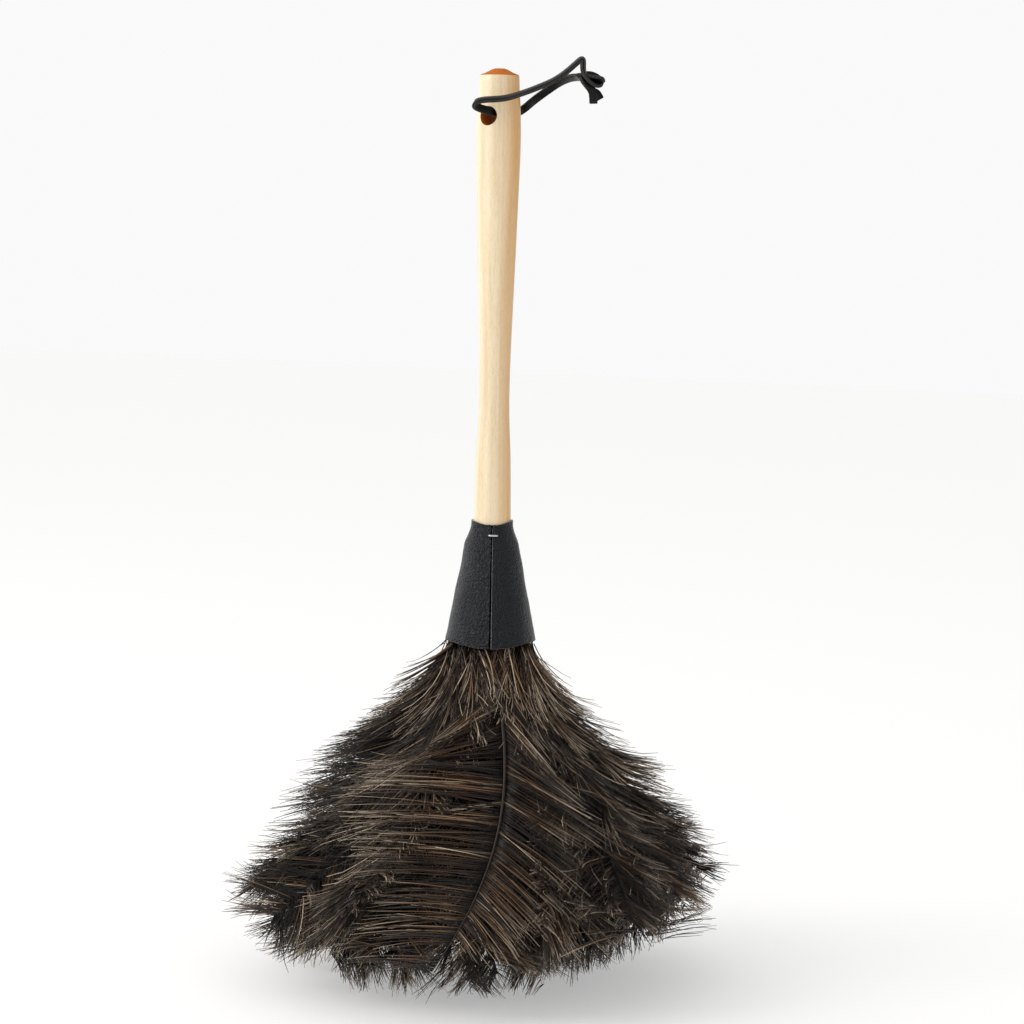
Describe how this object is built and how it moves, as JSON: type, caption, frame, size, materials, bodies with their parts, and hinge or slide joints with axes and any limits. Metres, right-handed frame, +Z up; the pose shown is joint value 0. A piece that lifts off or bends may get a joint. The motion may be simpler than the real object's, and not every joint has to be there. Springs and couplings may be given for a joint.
{
  "type": "feather duster",
  "caption": "Ostrich feather duster: turned wooden handle with a hanging hole and knotted leather lace, and a head of wired plumes under a stapled leather collar.",
  "frame": {"origin": "on the surface that the lowest feather tips stand on, under the handle's axis", "axes": "+Z up the handle from the feathers to the domed end; the hanging hole is drilled along Y; the hanging lace lies out towards +X"},
  "size_m": [0.2602, 0.2484, 0.5057],
  "materials": {
    "handle_beech": "satin",
    "collar_leather": "satin",
    "staple_steel": "satin",
    "binding_wire": "satin",
    "lace_leather": "matte",
    "core_plume": "matte",
    "lower_plume": "matte",
    "middle_plume": "matte",
    "outer_plume": "matte"
  },
  "bodies": {
    "duster": {"handle": "handle_beech", "leather_collar": "collar_leather", "collar_staple": "staple_steel", "binding_wire_1": "binding_wire", "binding_wire_2": "binding_wire", "binding_wire_3": "binding_wire", "binding_wire_4": "binding_wire", "core_plume_1": "core_plume", "core_plume_2": "core_plume", "core_plume_3": "core_plume", "core_plume_4": "core_plume", "core_plume_5": "core_plume", "core_plume_6": "core_plume", "core_plume_7": "core_plume", "core_plume_8": "core_plume", "core_plume_9": "core_plume", "core_plume_10": "core_plume", "lower_plume_1": "lower_plume", "lower_plume_2": "lower_plume", "lower_plume_3": "lower_plume", "lower_plume_4": "lower_plume", "lower_plume_5": "lower_plume", "lower_plume_6": "lower_plume", "lower_plume_7": "lower_plume", "lower_plume_8": "lower_plume", "lower_plume_9": "lower_plume", "lower_plume_10": "lower_plume", "lower_plume_11": "lower_plume", "lower_plume_12": "lower_plume", "middle_plume_1": "middle_plume", "middle_plume_2": "middle_plume", "middle_plume_3": "middle_plume", "middle_plume_4": "middle_plume", "middle_plume_5": "middle_plume", "middle_plume_6": "middle_plume", "middle_plume_7": "middle_plume", "middle_plume_8": "middle_plume", "middle_plume_9": "middle_plume", "middle_plume_10": "middle_plume", "middle_plume_11": "middle_plume", "middle_plume_12": "middle_plume", "outer_plume_1": "outer_plume", "outer_plume_2": "outer_plume", "outer_plume_3": "outer_plume", "outer_plume_4": "outer_plume", "outer_plume_5": "outer_plume", "outer_plume_6": "outer_plume", "outer_plume_7": "outer_plume", "outer_plume_8": "outer_plume", "outer_plume_9": "outer_plume", "outer_plume_10": "outer_plume", "outer_plume_11": "outer_plume", "outer_plume_12": "outer_plume", "outer_plume_13": "outer_plume", "outer_plume_14": "outer_plume"},
    "hanging_loop": {"hanging_lace": "lace_leather", "lace_knot": "lace_leather"}
  },
  "joints": [
    {"name": "lace_swing", "type": "hinge", "parent": "duster", "child": "hanging_loop", "pos_m": [0, 0, 0.474], "axis": [0, -1, 0], "range_deg": [-65, 210]}
  ]
}
